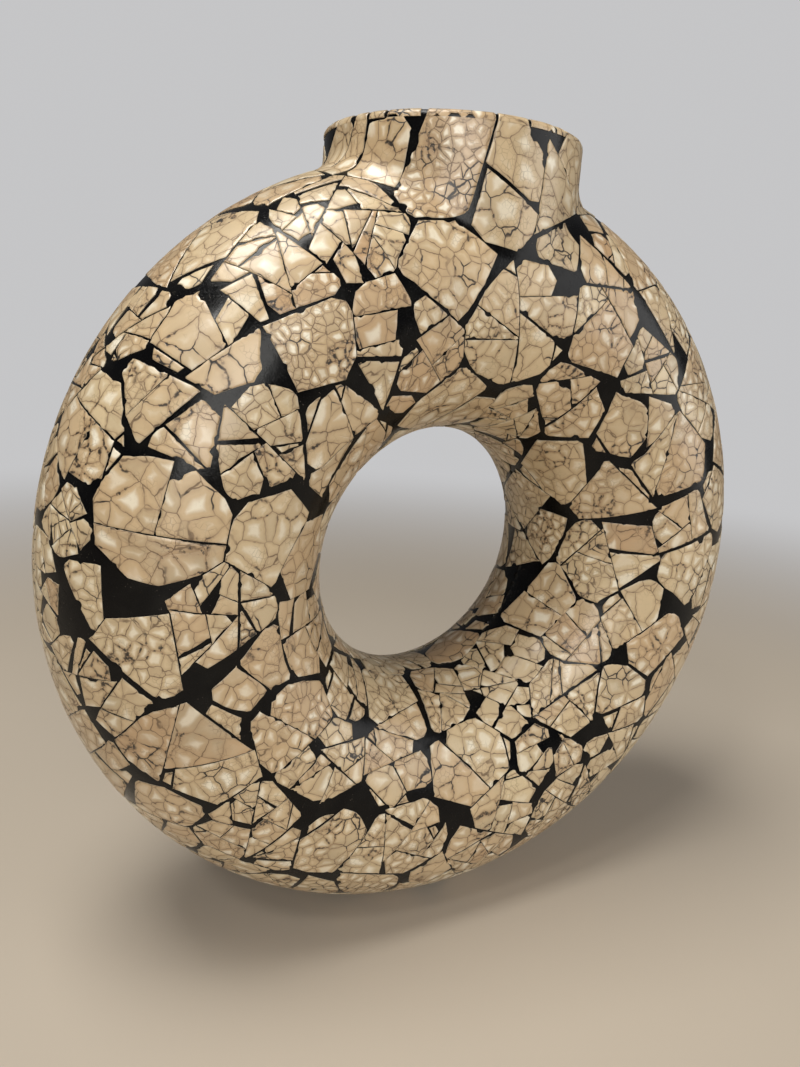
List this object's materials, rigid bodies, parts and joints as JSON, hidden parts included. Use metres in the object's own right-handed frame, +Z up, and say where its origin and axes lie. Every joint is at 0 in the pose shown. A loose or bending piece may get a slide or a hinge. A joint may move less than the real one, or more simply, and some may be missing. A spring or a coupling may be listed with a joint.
{
  "type": "ring vase",
  "caption": "Ring-shaped flower vase standing on edge, with a short wide neck, faced in a mosaic of broken shell on a black ground.",
  "frame": {"origin": "on the floor, at the middle of the flat base, under the centre of the ring", "axes": "+Z up, out of the mouth; +Y along the ring's hole, the front faces -Y; +X to the right across the ring"},
  "size_m": [0.4, 0.132, 0.407],
  "materials": {
    "shell": "satin",
    "ground": "gloss",
    "core": "matte",
    "seam_tape": "matte",
    "base": "matte"
  },
  "bodies": {
    "root": {"base_plate": "base", "core_back": "core", "core_front": "core", "ground_back": "ground", "ground_front": "ground", "neck_collar": "core", "seam_strip_hole": "seam_tape", "seam_strip_outer": "seam_tape", "shell_back_01": "shell", "shell_back_02": "shell", "shell_back_03": "shell", "shell_back_04": "shell", "shell_back_05": "shell", "shell_back_06": "shell", "shell_back_07": "shell", "shell_back_08": "shell", "shell_back_09": "shell", "shell_back_10": "shell", "shell_back_11": "shell", "shell_back_12": "shell", "shell_edge_01": "shell", "shell_edge_02": "shell", "shell_edge_03": "shell", "shell_edge_04": "shell", "shell_edge_05": "shell", "shell_edge_06": "shell", "shell_edge_07": "shell", "shell_edge_08": "shell", "shell_edge_09": "shell", "shell_edge_10": "shell", "shell_edge_11": "shell", "shell_front_01": "shell", "shell_front_02": "shell", "shell_front_03": "shell", "shell_front_04": "shell", "shell_front_05": "shell", "shell_front_06": "shell", "shell_front_07": "shell", "shell_front_08": "shell", "shell_front_09": "shell", "shell_front_10": "shell", "shell_front_11": "shell", "shell_front_12": "shell", "shell_hole_02": "shell", "shell_hole_04": "shell", "shell_hole_06": "shell", "shell_hole_08": "shell", "shell_hole_10": "shell", "shell_hole_12": "shell", "shell_neck_back": "shell", "shell_neck_front": "shell", "shell_neck_left": "shell", "shell_neck_right": "shell"}
  },
  "joints": []
}
